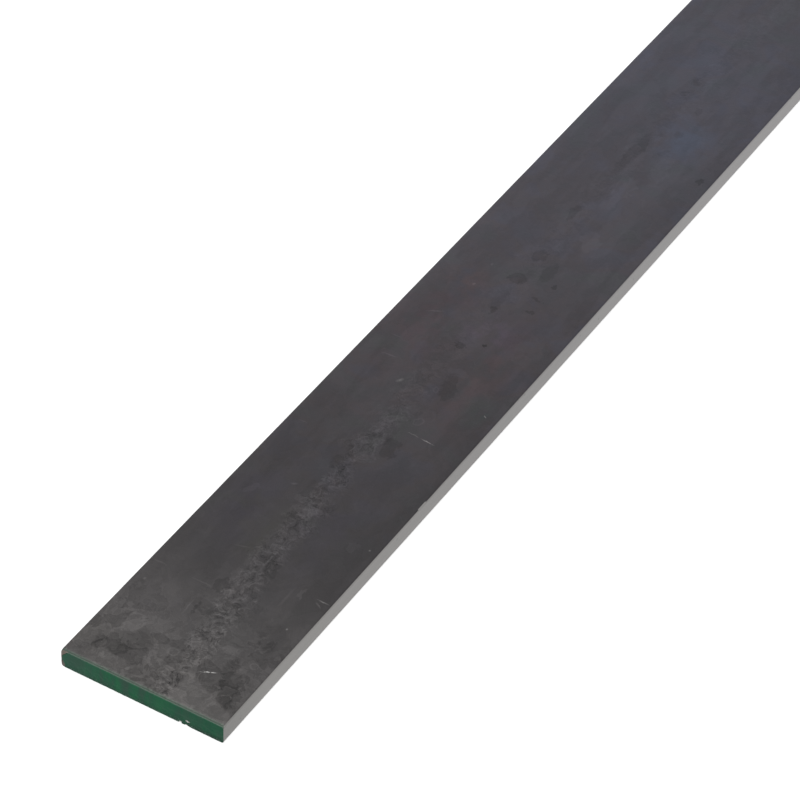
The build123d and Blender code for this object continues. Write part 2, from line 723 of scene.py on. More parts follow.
    def rubbed_corner(
        self, shade: Shade, along: bpy.types.NodeSocket
    ) -> bpy.types.NodeSocket:
        """Marks the smooth pale wedge at the painted end, towards the +Y corner.

        Args:
            shade: The material under construction.
            along: The distance from the painted end.

        Returns:
            A number from 0 outside the wedge to 1 inside it.
        """
        crooked = shade.grain(2.4, detail=3.0, shift=77.0)
        reach = shade.add("MapRange", (shade.y, 6.5, 19.0, 6.2, 0.7))
        reach = shade.add("Math", (crooked, 2.4, reach), operation="MULTIPLY_ADD")
        past = shade.add("Math", (along, reach), operation="SUBTRACT")
        wedge = shade.add("MapRange", (past, 0.7, 1.6, 1.0, 0.0), **SMOOTH)
        side = shade.add("MapRange", (shade.y, 4.2, 6.6), **SMOOTH)
        return shade.add("Math", (wedge, side), operation="MULTIPLY")

    def build(self) -> bpy.types.Material:
        """Makes the material.

        Returns:
            The mill scale.
        """
        shade = Shade(self.name)
        along = shade.add("Math", (self.half_length, shade.x), operation="SUBTRACT")
        tint = self.tint_and_painted_sheen(shade, along)
        band = self.rucked_band(shade, along)
        # The first 15 to 35 mm are the most flaked.
        sway = shade.grain(8.0, detail=2.0, shift=61.0)
        swayed = shade.add("Math", (sway, 14.0, along), operation="MULTIPLY_ADD")
        first = shade.add("MapRange", (swayed, 22.0, 42.0, 1.0, 0.0), **SMOOTH)

        # Flaked scale leaves flat islands, 6 and 3 mm across. Each has a pale rim on one side of
        # its step, partly wear and partly a painted highlight, and a painted shadow line in the
        # recess on the other.
        broad = shade.grain(6.0, detail=5.0, roughness=0.55, distortion=0.5, shift=90.0)
        small = shade.grain(2.8, detail=5.0, roughness=0.6, distortion=0.8)
        ruck = shade.grain(2.2, detail=4.0, roughness=0.55, distortion=0.8, shift=23.0)
        fine = shade.grain(0.5, detail=2.0, shift=8.0)
        speck = shade.grain(1.1, detail=3.0, roughness=0.5, distortion=0.6, shift=57.0)
        streak = shade.grain(
            7.0, detail=4.0, roughness=0.5, distortion=0.3, stretch=(2.4, 0.7, 1.0), shift=33.0
        )
        islands = shade.step(broad)
        flakes = shade.step(small)
        # The rucks are coloured with a painted highlight along each crest and a painted shadow
        # line beside it.
        shadow = shade.add("Math", (shade.ridge(ruck, 0.4, 0.05), -0.42), operation="MULTIPLY")
        ruck_highlight_and_shadow = shade.add(
            "Math", (shade.ridge(ruck, 0.56, 0.05), 0.55, shadow), operation="MULTIPLY_ADD"
        )
        drawn = shade.add("MapRange", (streak, 0.44, 0.58), **SMOOTH)
        drawn = shade.add("Math", (drawn, 0.5), operation="SUBTRACT")
        busy = shade.add("Math", (first, 0.55), operation="MULTIPLY")
        busy = shade.add("Math", (band, busy), operation="MAXIMUM")

        # Sparse bright specks and dark dots under a millimetre across: painted glints and painted
        # shadows of small bumps.
        specks = shade.add("MapRange", (speck, 0.66, 0.71), **SMOOTH)
        pits = shade.add("MapRange", (speck, 0.29, 0.34, 1.0, 0.0), **SMOOTH)
        specks = shade.add("Math", (specks, pits), operation="SUBTRACT")

        cloud = shade.grain(13.0, detail=3.0, stretch=(1.6, 0.8, 1.0), shift=120.0)
        level = shade.add("Math", (drawn, 0.12, 0.91), operation="MULTIPLY_ADD")
        level = shade.add("Math", (cloud, 0.18, level), operation="MULTIPLY_ADD")
        # Each pattern is strong where its mask is 1 and keeps a rest of it elsewhere. Their
        # gain in brightness is taken off again.
        for pattern, mask, strength, rest in (
            (islands, first, 0.46, 0.11),
            (flakes, busy, 0.54, 0.075),
            (ruck_highlight_and_shadow, band, 0.80, 0.035),
            (specks, busy, 0.32, 0.06),
            (fine, busy, 0.28, 0.04),
        ):
            share = shade.add("Math", (mask, strength, rest), operation="MULTIPLY_ADD")
            level = shade.add("Math", (pattern, share, level), operation="MULTIPLY_ADD")
        gain = shade.add("Math", (busy, 0.1, 0.025), operation="MULTIPLY_ADD")
        level = shade.add("Math", (level, gain), operation="SUBTRACT")

        lift, scuff = self.placed_marks(shade)
        wedge = self.rubbed_corner(shade, along)
        level = shade.add("Math", (level, lift), operation="ADD")
        level = shade.add("Math", (wedge, 0.38, level), operation="MULTIPLY_ADD")

        # The rolls pressed the +Y side smooth and dark and left the -Y edge paler.
        strip = shade.add("MapRange", (shade.y, 9.0, 17.5, 0.0, 0.1), **SMOOTH)
        level = shade.add("Math", (level, strip), operation="SUBTRACT")
        strip = shade.add("MapRange", (shade.y, -18.2, -14.0, 0.1, 0.0), **SMOOTH)
        level = shade.add("Math", (level, strip), operation="ADD")
        colour = shade.add("VectorMath", {0: tint, "Scale": level}, operation="SCALE")

        # The roll-over is coloured pale: partly steel that the shear rubbed and partly a painted
        # highlight on the rounded edge. The marking paint strayed onto it.
        worn = shade.add("MapRange", (along, 0.35, 0.6, 0.85, 0.0), **SMOOTH)
        smudged = shade.add("Math", (small, 2.4, along), operation="MULTIPLY_ADD")
        stray = shade.add("MapRange", (smudged, 1.2, 2.8, 0.1, 0.0), **SMOOTH)
        for cover, tint in ((stray, "#34503F"), (worn, "#4A554D"), (scuff, "#A5A3A2")):
            colour = shade.add("Mix", {0: cover, 6: colour, 7: tint}, **COLOURS)
        rough = shade.add("Math", (small, 0.16, 0.36), operation="MULTIPLY_ADD")
        polish = shade.add("Math", (scuff, 0.12), operation="MULTIPLY")
        rough = shade.add("Math", (rough, polish), operation="SUBTRACT")
        rucked = shade.add("Math", (busy, 1.2, 0.08), operation="MULTIPLY_ADD")
        height = shade.add("Math", (ruck, rucked), operation="MULTIPLY")
        flaked = shade.add("Math", (busy, 0.6, 0.2), operation="MULTIPLY_ADD")
        height = shade.add("Math", (small, flaked, height), operation="MULTIPLY_ADD")
        height = shade.add("Math", (fine, 0.08, height), operation="MULTIPLY_ADD")
        height = shade.add("Math", (scuff, -0.3, height), operation="MULTIPLY_ADD")
        return shade.finish(colour, rough, height, 0.2, {"Metallic": 0.75})


@dataclass(frozen=True)
class RolledEdge:
    """The two narrow edges, where the rolls leave a thin, smooth and lighter scale, which is
    painted paler still with a reflection of the bright floor.

    Pale grey and even, with faint lines along the bar and a few pits.
    """

    half_length: float
    name: str = "rolled_edge_scale_and_painted_reflection"

    def build(self) -> bpy.types.Material:
        """Makes the material.

        Returns:
            The lighter scale of the narrow edges, with its painted reflection.
        """
        shade = Shade(self.name)
        along = shade.add("Math", (self.half_length, shade.x), operation="SUBTRACT")
        place = shade.add("MapRange", (along, 0.0, 200.0))
        # A painted reflection of the floor over the edge scale's own pale tone.
        tint = shade.add(
            "ValToRGB",
            (place,),
            stops=((0.0, "#7C7B79"), (0.08, "#868482"), (0.5, "#888685"), (1.0, "#8E8C8C")),
        )
        lines = shade.grain(1.0, detail=3.0, stretch=(22.0, 1.0, 0.6))
        clouds = shade.grain(7.0, detail=4.0, roughness=0.6, stretch=(1.6, 1.0, 0.6), shift=31.0)
        fine = shade.grain(0.3, detail=2.0, shift=3.0)
        level = shade.add("Math", (lines, 0.1, 0.95), operation="MULTIPLY_ADD")
        for pattern, swing in ((clouds, 0.16), (fine, 0.06)):
            change = shade.add("Math", (pattern, swing, -swing / 2), operation="MULTIPLY_ADD")
            level = shade.add("Math", (level, change), operation="ADD")
        cells = {"Vector": shade.mm, "Scale": 0.3, "Randomness": 1.0}
        pits = shade.add("TexVoronoi", cells, output="Distance")
        pits = shade.add("MapRange", (pits, 0.05, 0.12, 1.0, 0.0), **SMOOTH)
        darker = shade.add("Math", (pits, 0.22), operation="MULTIPLY")
        level = shade.add("Math", (level, darker), operation="SUBTRACT")
        colour = shade.add("VectorMath", {0: tint, "Scale": level}, operation="SCALE")
        rough = shade.add("Math", (clouds, 0.14, 0.36), operation="MULTIPLY_ADD")
        height = shade.add("Math", (lines, 0.4), operation="MULTIPLY")
        height = shade.add("Math", (height, fine), operation="ADD")
        height = shade.add("Math", (height, pits), operation="SUBTRACT")
        return shade.finish(colour, rough, height, 0.012, {"Metallic": 0.75})


@dataclass(frozen=True)
class ShearedSteel:
    """The cut face of mild steel: a burnished land over a torn, grainy break.

    Pale and finely scored on the land and duller, mealy and sparkling on the break.
    """

    land_bottom: float
    name: str = "sheared_mild_steel"

    def build(self) -> bpy.types.Material:
        """Makes the material.

        Returns:
            The cut steel.
        """
        shade = Shade(self.name)
        ragged = shade.grain(2.2, detail=3.0, shift=14.0)
        torn = shade.add("Math", (shade.z, ragged), operation="ADD")
        low, high = self.land_bottom + 0.25, self.land_bottom + 0.75
        torn = shade.add("MapRange", (torn, low, high, 1.0, 0.0), **SMOOTH)
        scores = shade.grain(0.35, detail=2.0, stretch=(1.0, 1.0, 14.0))
        meal = shade.grain(0.5, detail=5.0, roughness=0.7, shift=6.0)
        rust = shade.add("MapRange", (shade.grain(4.0, 5.0, shift=51.0), 0.5, 0.66), **SMOOTH)
        rust = shade.add("Math", (rust, 0.35), operation="MULTIPLY")
        land = shade.add("ValToRGB", (scores,), stops=((0.3, "#635E58"), (0.72, "#8A847D")))
        broken = shade.add("ValToRGB", (meal,), stops=((0.34, "#423D38"), (0.7, "#777069")))
        colour = shade.add("Mix", {0: torn, 6: land, 7: broken}, **COLOURS)
        colour = shade.add("Mix", {0: rust, 6: colour, 7: "#5E4636"}, **COLOURS)
        rough = shade.add("Math", (torn, 0.22, 0.3), operation="MULTIPLY_ADD")
        height = shade.add("Mix", {0: torn, 6: scores, 7: meal}, **COLOURS)
        return shade.finish(colour, rough, height, 0.09, {"Metallic": 0.85})


@dataclass(frozen=True)
class ChippedSteel:
    """Fresh broken steel in the bites and nicks, bright and crystalline."""

    name: str = "chipped_bare_steel"

    def build(self) -> bpy.types.Material:
        """Makes the material.

        Returns:
            The bright bare steel.
        """
        shade = Shade(self.name)
        grit = shade.grain(0.25, detail=4.0, roughness=0.7)
        colour = shade.add("ValToRGB", (grit,), stops=((0.3, "#8E908C"), (0.65, "#DADCD7")))
        rough = shade.add("Math", (grit, 0.2, 0.28), operation="MULTIPLY_ADD")
        return shade.finish(colour, rough, grit, 0.06, {"Metallic": 1.0})


@dataclass(frozen=True)
class MarkingPaint:
    """Green alkyd marking paint, wiped thinly over the cut end.

    Dark green and satin. It is thin and dull where the break is coarse, and the steel
    greys it where it was wiped. Along the top edge it is pale, partly a thinner coat and
    partly a painted highlight on the rounded edge.
    """

    land_top: float
    name: str = "green_marking_paint"

    def build(self) -> bpy.types.Material:
        """Makes the material.

        Returns:
            The paint.
        """
        shade = Shade(self.name)
        wipes = shade.grain(2.8, detail=4.0, roughness=0.6, stretch=(1.0, 0.7, 2.6), shift=9.0)
        smear = shade.grain(7.0, detail=3.0, stretch=(1.0, 1.0, 1.3), shift=66.0)
        meal = shade.grain(0.45, detail=4.0, roughness=0.7, shift=2.0)
        colour = shade.add(
            "ValToRGB",
            (wipes,),
            stops=((0.36, "#0F5A38"), (0.52, "#155238"), (0.66, "#29493B")),
        )
        far_side = shade.add("MapRange", (shade.y, -2.0, 14.0, 0.0, 0.7))
        near_side = shade.add("MapRange", (shade.y, -15.0, -8.0, 0.7, 0.0))
        worn = shade.add("MapRange", (smear, 0.5, 0.66, 0.0, 0.55), **SMOOTH)
        low = shade.add("MapRange", (shade.z, 0.25, 1.5, 1.0, 0.0), **SMOOTH)
        # The paint is darker along the bottom of the end, most towards +Y.
        darker_to_plus_y = shade.add("MapRange", (shade.y, 4.0, 16.0, 0.4, 0.95), **SMOOTH)
        low_darkening = shade.add("Math", (low, darker_to_plus_y), operation="MULTIPLY")
        specks = shade.add("MapRange", (meal, 0.52, 0.68), **SMOOTH)
        specks = shade.add("Math", (specks, low), operation="MULTIPLY")
        pale = shade.add("Math", (specks, 0.5), operation="MULTIPLY")
        # The coat is painted pale where it climbs onto the roll-over: thinner paint there, and a
        # painted highlight on the rounded edge.
        rim = shade.add("Math", (meal, 0.24, shade.z), operation="MULTIPLY_ADD")
        thin = shade.add("MapRange", (rim, self.land_top + 0.08, self.land_top + 0.32), **SMOOTH)
        for cover, tint in (
            (far_side, "#0D4A33"),
            (near_side, "#27503F"),
            (worn, "#2C473B"),
            (low_darkening, "#15382A"),
            (pale, "#6E8C7D"),
            (thin, "#5E6D63"),
        ):
            colour = shade.add("Mix", {0: cover, 6: colour, 7: tint}, **COLOURS)
        rough = shade.add("Math", (wipes, 0.2, 0.4), operation="MULTIPLY_ADD")
        coarse = shade.add("Math", (low, 0.85, 0.15), operation="MULTIPLY_ADD")
        height = shade.add("Math", (meal, coarse), operation="MULTIPLY")
        wiped = shade.add("Math", (wipes, 0.25), operation="MULTIPLY")
        height = shade.add("Math", (height, wiped), operation="ADD")
        gloss = {"IOR": 1.5, "Specular IOR Level": 0.13}
        return shade.finish(colour, rough, height, 0.12, gloss)


def seen_rays(tree: bpy.types.NodeTree, *kinds: str) -> bpy.types.NodeSocket:
    """Says whether a ray is one of some kinds, such as the camera's.

    Args:
        tree: The node tree that asks.
        kinds: The Light Path outputs that count.

    Returns:
        1 for those rays and 0 for others.
    """
    path = add_node(tree, "LightPath").node.outputs
    seen = path[kinds[0]]
    for kind in kinds[1:]:
        seen = add_node(tree, "Math", (seen, path[kind]), operation="MAXIMUM")
    return seen


@dataclass(frozen=True)
class WhitePaper:
    """The floor: matt white studio paper that keeps the bar's soft shadow.

    The camera sees it a little brighter than it is lit, and reflections see plain white.
    """

    glow: float = 0.5
    name: str = "matt_white_paper"

    def build(self) -> bpy.types.Material:
        """Makes the material.

        Returns:
            The paper.
        """
        material = bpy.data.materials.new(self.name)
        material.use_nodes = True
        tree = material.node_tree
        tree.nodes.clear()
        paper = add_node(tree, "BsdfDiffuse", {"Color": "#EEEEEE"})
        glow, white = (
            add_node(tree, "Emission", {"Color": "#FFFFFF", "Strength": strength})
            for strength in (self.glow, 1.0)
        )
        lit = add_node(tree, "AddShader", (paper, glow))
        seen = seen_rays(tree, "Is Camera Ray")
        choice = add_node(tree, "MixShader", (seen, paper, lit))
        mirrored = seen_rays(tree, "Is Glossy Ray", "Is Transmission Ray")
        choice = add_node(tree, "MixShader", (mirrored, choice, white))
        add_node(tree, "OutputMaterial", (choice,))
        return material


class Cut(Enum):
    """The face sets of the bar, each with a finish of its own, as material numbers."""

    WIDE_FACE = 0
    NARROW_EDGE = 1
    SHEARED_END = 2
    CHIP = 3


@dataclass(frozen=True)
class Bite:
    """A place where steel is broken out, as the rough ball that fits it, in metres.

    Attributes:
        centre: The ball's centre.
        radii: Its half sizes along x, y and z.
        grit: How rough it is.
        surface: What its surface looks like.
    """

    centre: tuple[float, float, float]
    radii: tuple[float, float, float]
    grit: float = 0.12 * MM
    surface: Cut = Cut.CHIP

    def holds(self, points: np.ndarray) -> np.ndarray:
        """Says which points lie in the ball or just outside it.

        Args:
            points: Rows of x, y and z.

        Returns:
            One truth value for each point.
        """
        reach = np.array(self.radii) + 1.2 * self.grit
        return np.sum(((points - np.array(self.centre)) / reach) ** 2, axis=1) < 1.0

    def cut(self, piece: bpy.types.Object) -> None:
        """Takes the rough ball out of a piece.

        Args:
            piece: The piece that is bitten.
        """
        bpy.ops.object.select_all(action="DESELECT")
        bpy.ops.mesh.primitive_ico_sphere_add(subdivisions=5, radius=1.0, scale=self.radii)
        ball = bpy.context.object
        bpy.ops.object.transform_apply(location=False, rotation=False, scale=True)
        with picked(ball, Element.VERTEX, everything):
            bpy.ops.transform.translate(value=self.centre)
        grain = bpy.data.textures.new("broken_steel", "CLOUDS")
        grain.noise_scale, grain.noise_depth = 0.5 * MM, 3
        apply_modifier(
            ball,
            "DISPLACE",
            texture=grain,
            texture_coords="LOCAL",
            strength=2 * self.grit,
            mid_level=0.5,
        )
        apply_modifier(piece, "BOOLEAN", object=ball, operation="DIFFERENCE", solver="EXACT")
        bpy.data.objects.remove(ball, do_unlink=True)


@dataclass
class RolledBar:
    """The steel bar, with its round corners, sheared ends, bites, nicks and relief.

    Attributes:
        length: Its length.
        width: Its width.
        thickness: Its thickness.
        corner_radius: The radius of the four long corners.
        roll_over_reach: How far the roll-over reaches in from the end.
        roll_over_drop: How far it drops at the end.
        roll_over_stations: Where it is cut into faces, as shares of its reach.
        land_height: The height of the burnished land below it.
        break_angle: How far the torn face leans back, in degrees.
        skirt: The strip beside a corner that has faces of its own.
        end_zone: How far from the end the lean of the torn face dies away.
        strip_length: The length of each of the three strips that its map has.
        columns: How many cuts divide the wide faces.
        fine_step: The spacing of the cuts along the strip that the photo shows.
        coarse_step: The spacing along the other two.
        edge_lean: How squarely a face of the narrow edges looks sideways.
        end_lean: How squarely a face of the sheared ends looks along the bar.
        end_depth: How far in from the end its faces lie at most.
        skin_lean: How squarely a face looks that no bite has touched.
        smooth_angle: The angle in degrees above which an edge is sharp.
        name: The piece's name.
        bites: What is broken out of it.
    """

    length: float
    width: float
    thickness: float
    corner_radius: float = 0.5 * MM
    roll_over_reach: float = 0.55 * MM
    roll_over_drop: float = 0.4 * MM
    roll_over_stations: tuple[float, ...] = (0.0, 0.25, 0.5, 0.75, 1.0)
    land_height: float = 1.5 * MM
    break_angle: float = 3.0
    skirt: float = 0.8 * MM
    end_zone: float = 2.0 * MM
    strip_length: float = 304.8 * MM
    columns: int = 40
    fine_step: float = 0.75 * MM
    coarse_step: float = 3.0 * MM
    edge_lean: float = 0.75
    end_lean: float = 0.7
    end_depth: float = 0.4 * MM
    skin_lean: float = 0.9985
    smooth_angle: float = 28.0
    name: str = "flat_bar_steel"
    bites: tuple[Bite, ...] = ()
    piece: bpy.types.Object = field(init=False)

    @property
    def half_length(self) -> float:
        """Half the length."""
        return self.length / 2

    @property
    def land_bottom(self) -> float:
        """The height where the burnished land ends and the torn face begins."""
        return self.thickness - self.roll_over_drop - self.land_height

    def drop_at(self, inward: float) -> float:
        """Gives how far the roll-over lies below the top face.

        Args:
            inward: The distance from the end.

        Returns:
            The drop, on an arc that is level where the roll-over begins.
        """
        share = max(0.0, 1.0 - inward / self.roll_over_reach)
        return self.roll_over_drop * (0.35 * share + 0.65 * share**2.2)

    def strip_breaks(self) -> tuple[float, float]:
        """Gives the two places along the bar that part its three equal strips."""
        return self.half_length - self.strip_length, -self.half_length + self.strip_length

    def start_block(self) -> None:
        """Adds the block and cuts it where its faces later differ."""
        bpy.ops.object.select_all(action="DESELECT")
        bpy.ops.mesh.primitive_cube_add(
            size=1.0,
            location=(0.0, 0.0, self.thickness / 2),
            scale=(self.length, self.width, self.thickness),
        )
        self.piece = bpy.context.object
        self.piece.name = self.name
        bpy.ops.object.transform_apply(location=True, rotation=False, scale=True)
        inner = self.width / 2 - self.skirt
        stations = [
            self.half_length - s * self.roll_over_reach for s in self.roll_over_stations[1:]
        ]
        stations.append(self.half_length - self.end_zone)
        cuts = [((0.0, y, 0.0), (0.0, 1.0, 0.0)) for y in (-inner, inner)]
        cuts += [
            ((0.0, 0.0, z), (0.0, 0.0, 1.0))
            for z in (self.skirt, self.land_bottom, self.thickness - self.skirt)
        ]
        cuts += [((s * x, 0.0, 0.0), (1.0, 0.0, 0.0)) for x in stations for s in (-1, 1)]
        cuts += [((x, 0.0, 0.0), (1.0, 0.0, 0.0)) for x in self.strip_breaks()]
        for place, normal in cuts:
            with picked(self.piece, Element.VERTEX, everything):
                bpy.ops.mesh.bisect(plane_co=place, plane_no=normal, threshold=1e-7)

    def round_corners(self) -> None:
        """Rounds the four long corners that the rolls leave."""

        def on_a_long_corner(a: np.ndarray, b: np.ndarray) -> np.ndarray:
            """Says which edges run along one of the four long corners."""
            at_side = near(np.abs(a[:, 1]), self.width / 2) & near(a[:, 1], b[:, 1])
            at_face = near(a[:, 2], 0.0) | near(a[:, 2], self.thickness)
            return at_side & at_face & near(a[:, 2], b[:, 2])

        with picked(self.piece, Element.EDGE, on_a_long_corner):
            bpy.ops.mesh.bevel(
                offset=self.corner_radius,
                offset_type="OFFSET",
                segments=4,
                profile=0.5,
                affect="EDGES",
                clamp_overlap=False,
            )

    def shear_ends(self) -> None:
        """Drags the top edge of both ends down and leans the torn face back."""
        floor = self.land_bottom
        for side in (-1.0, 1.0):
            for share in self.roll_over_stations[:-1]:
                inward = share * self.roll_over_reach
                x = side * (self.half_length - inward)
                squeeze = 1.0 - self.drop_at(inward) / (self.thickness - floor)
                with picked(
                    self.piece,
                    Element.VERTEX,
                    lambda v, x=x: near(v[:, 0], x) & (v[:, 2] > floor + 1e-6),
                ):
                    bpy.ops.transform.resize(
                        value=(1.0, 1.0, squeeze), center_override=(0.0, 0.0, floor)
                    )
            end = side * self.half_length
            v = rows(self.piece.data.vertices, "co")
            heights = v[near(v[:, 0], end) & (v[:, 2] < floor - 1e-6), 2]
            for z in np.unique(np.round(heights, 7)):
                lean = (floor - z) * math.tan(math.radians(self.break_angle))
                for share in reversed(self.roll_over_stations):
                    inward = share * self.roll_over_reach
                    x = side * (self.half_length - inward)
                    step = -side * lean * (1.0 - inward / self.end_zone)
                    with picked(
                        self.piece,
                        Element.VERTEX,
                        lambda v, x=x, z=z: near(v[:, 0], x) & near(v[:, 2], z, 2e-7),
                    ):
                        bpy.ops.transform.translate(value=(step, 0.0, 0.0))

    def divide(self) -> None:
        """Divides the faces finely enough to hold the relief."""
        inner = self.width / 2 - self.skirt

        def across(a: np.ndarray, b: np.ndarray) -> np.ndarray:
            """Says which edges cross the flat middle."""
            return near(np.abs(a[:, 1]), inner) & near(a[:, 1], -b[:, 1])

        def between(low: float, high: float) -> Callable[..., np.ndarray]:
            """Gives a test for upright edges between two heights of the section."""

            def test(a: np.ndarray, b: np.ndarray) -> np.ndarray:
                """Says which edges are upright and span those heights."""
                centre = (a[:, 2] + b[:, 2]) / 2
                upright = near(a[:, 1], b[:, 1]) & (np.abs(a[:, 2] - b[:, 2]) > 0.2 * MM)
                return upright & (centre > low) & (centre < high) & (
                    np.abs(a[:, 0] - b[:, 0]) < 0.3 * MM
                )

            return test

        def lengthways(low: float, high: float) -> Callable[..., np.ndarray]:
            """Gives a test for edges along the bar between two places."""

            def test(a: np.ndarray, b: np.ndarray) -> np.ndarray:
                """Says which edges run along the bar from low to high."""
                start, end = np.minimum(a[:, 0], b[:, 0]), np.maximum(a[:, 0], b[:, 0])
                return near(start, low, 2e-6) & near(end, high, 2e-6)

            return test

        band = self.half_length - self.end_zone
        near_break, far_break = self.strip_breaks()
        middle = near_break - far_break
        steps = (
            (across, self.columns),
            (between(self.skirt, self.land_bottom), 4),
            (between(self.land_bottom, self.thickness - 0.9 * self.skirt), 2),
            (lengthways(band, self.half_length - self.roll_over_reach), 2),
            (lengthways(-self.half_length + self.roll_over_reach, -band), 2),
            (lengthways(near_break, band), round((band - near_break) / self.fine_step)),
            (lengthways(far_break, near_break), round(middle / self.coarse_step)),
            (lengthways(-band, far_break), round((band + far_break) / self.coarse_step)),
        )
        for test, cuts in steps:
            with picked(self.piece, Element.EDGE, test) as count:
                log.info("dividing %d edges by %d", count, cuts)
                bpy.ops.mesh.subdivide(number_cuts=cuts)
        with picked(
            self.piece,
            Element.FACE,
            lambda c, n: (np.abs(n[:, 0]) > 0.9) & (np.abs(c[:, 0]) > band),
        ):
            bpy.ops.mesh.subdivide(number_cuts=2)

    def roughen(self) -> None:
        """Gives the wide faces, the long corners and the torn faces their relief."""

        def share(heights: np.ndarray, reach: float) -> np.ndarray:
            """Gives 1 at a height of 0 and 0 at a reach."""
            return np.clip(1.0 - heights / reach, 0.0, 1.0)

        v = rows(self.piece.data.vertices, "co")
        end = share(self.half_length - np.abs(v[:, 0]), 0.3 * MM)
        torn = end * np.clip((self.land_bottom - v[:, 2]) / (0.6 * MM), 0.0, 1.0)
        wide = (1 - end) * (np.abs(v[:, 1]) < self.width / 2 - self.skirt)
        rim = (1 - end) * share(self.width / 2 - np.abs(v[:, 1]), 0.6 * MM)
        for name, weight, size, strength in (
            ("scale_relief", wide, 4.0 * MM, 0.03 * MM),
            ("edge_relief", rim, 6.0 * MM, 0.06 * MM),
            ("torn_relief", torn, 0.9 * MM, 0.16 * MM),
        ):
            group = self.piece.vertex_groups.new(name=name)
            for level in np.unique(np.round(weight, 2)):
                if level > 0:
                    members = np.flatnonzero(np.round(weight, 2) == level).tolist()
                    group.add(members, float(level), "REPLACE")
            grain = bpy.data.textures.new(name, "CLOUDS")
            grain.noise_scale, grain.noise_depth = size, 3
            apply_modifier(
                self.piece,
                "DISPLACE",
                texture=grain,
                texture_coords="LOCAL",
                strength=strength,
                mid_level=0.5,
                vertex_group=name,
            )

    def face_sets(self) -> np.ndarray:
        """Sorts the faces by where they lie and which way they look.

        Returns:
            The material number of each face.
        """
        faces = self.piece.data.polygons
        centre, normal = rows(faces, "center"), rows(faces, "normal")
        sets = np.full(len(centre), Cut.WIDE_FACE.value)
        sets[np.abs(normal[:, 1]) > self.edge_lean] = Cut.NARROW_EDGE.value
        at_end = self.half_length - np.abs(centre[:, 0]) < self.end_depth
        sets[at_end & (np.abs(normal[:, 0]) > self.end_lean)] = Cut.SHEARED_END.value
        for bite in self.bites:
            inside = bite.holds(centre)
            on_skin = (np.abs(normal) > self.skin_lean).any(axis=1)
            sets[inside & ~on_skin] = bite.surface.value
        return sets

    def unwrap(self) -> None:
        """Lays the skin out as three strips and the two ends, in its own map.

        The section is unrolled from the underside round both edges. Each strip is a third
        of the length, so that the map stays square and the pattern fine.
        """
        mesh = self.piece.data
        gap = 2.0 * MM
        radius = self.corner_radius
        flat_y, flat_z = self.width / 2 - radius, self.thickness / 2 - radius
        arc = math.pi / 2 * radius
        girth = 4 * (flat_y + flat_z + arc)
        v = rows(mesh.vertices, "co")
        corner = np.empty(len(mesh.loops), dtype=np.int64)
        mesh.loops.foreach_get("vertex_index", corner)
        total = np.empty(len(mesh.polygons), dtype=np.int64)
        mesh.polygons.foreach_get("loop_total", total)
        owner = np.repeat(np.arange(len(total)), total)
        centre = rows(mesh.polygons, "center")

        def round_the_section(points: np.ndarray) -> np.ndarray:
            """Gives how far round the section each point lies."""
            y, z = points[:, 1], points[:, 2] - self.thickness / 2
            at_side = (np.abs(y) - self.width / 2) > (np.abs(z) - self.thickness / 2)
            in_arc = (np.abs(y) > flat_y) & (np.abs(z) > flat_z)
            turn = np.arctan2(np.abs(z) - flat_z, np.abs(y) - flat_y)
            on_arc = flat_z + radius * np.clip(turn, 0, math.pi / 2)
            on_side, on_wide = np.minimum(np.abs(z), flat_z), flat_z + arc + flat_y - np.abs(y)
            quarter = np.where(in_arc, on_arc, np.where(at_side, on_side, on_wide))
            front = np.where(z >= 0, quarter, -quarter)
            back = np.where(z >= 0, girth / 2 - quarter, -girth / 2 + quarter)
            return np.where(y >= 0, front, back)

        s_vertex = round_the_section(v)[corner]
        s_face = round_the_section(centre)[owner]
        s_vertex = s_vertex - girth * np.round((s_vertex - s_face) / girth)
        breaks = self.strip_breaks()
        strip = (centre[:, 0] < breaks[0]).astype(int) + (centre[:, 0] < breaks[1])
        starts = np.array([self.half_length, *breaks])
        u = starts[strip[owner]] - v[corner, 0]
        w = s_vertex + girth / 2 + strip[owner] * (girth + gap)
        sets = self.face_sets()[owner]
        on_end = (sets == Cut.SHEARED_END.value) | (
            (sets == Cut.CHIP.value) & (self.half_length - np.abs(centre[owner, 0]) < 2 * MM)
        )
        far = centre[owner, 0] < 0
        u = np.where(on_end, v[corner, 1] + self.width / 2 + far * (self.width + gap), u)
        w = np.where(on_end, v[corner, 2] + 3 * (girth + gap), w)
        side = self.strip_length + 2 * gap
        drop_maps(mesh)
        layer = mesh.uv_layers.new(name="OFBake")
        layer.data.foreach_set(
            "uv", np.column_stack(((u + gap) / side, (w + gap) / side)).ravel()
        )

    def build(self) -> bpy.types.Object:
        """Models and dresses the bar.

        Returns:
            The bar.
        """
        self.start_block()
        self.round_corners()
        self.shear_ends()
        self.divide()
        self.roughen()
        for bite in self.bites:
            bite.cut(self.piece)
        select_only(self.piece)
        bpy.ops.object.shade_smooth_by_angle(angle=math.radians(self.smooth_angle))
        self.dress()
        self.unwrap()
        log.info("%s: %d faces", self.name, len(self.piece.data.polygons))
        return self.piece

    def dress(self) -> None:
        """Gives each face set its finish."""
        half = self.half_length / MM
        for finish in (
            MillScale(half, self.thickness / MM),
            RolledEdge(half),
            ShearedSteel(self.land_bottom / MM),
            ChippedSteel(),
        ):
            self.piece.data.materials.append(finish.build())
        self.piece.data.polygons.foreach_set("material_index", self.face_sets())


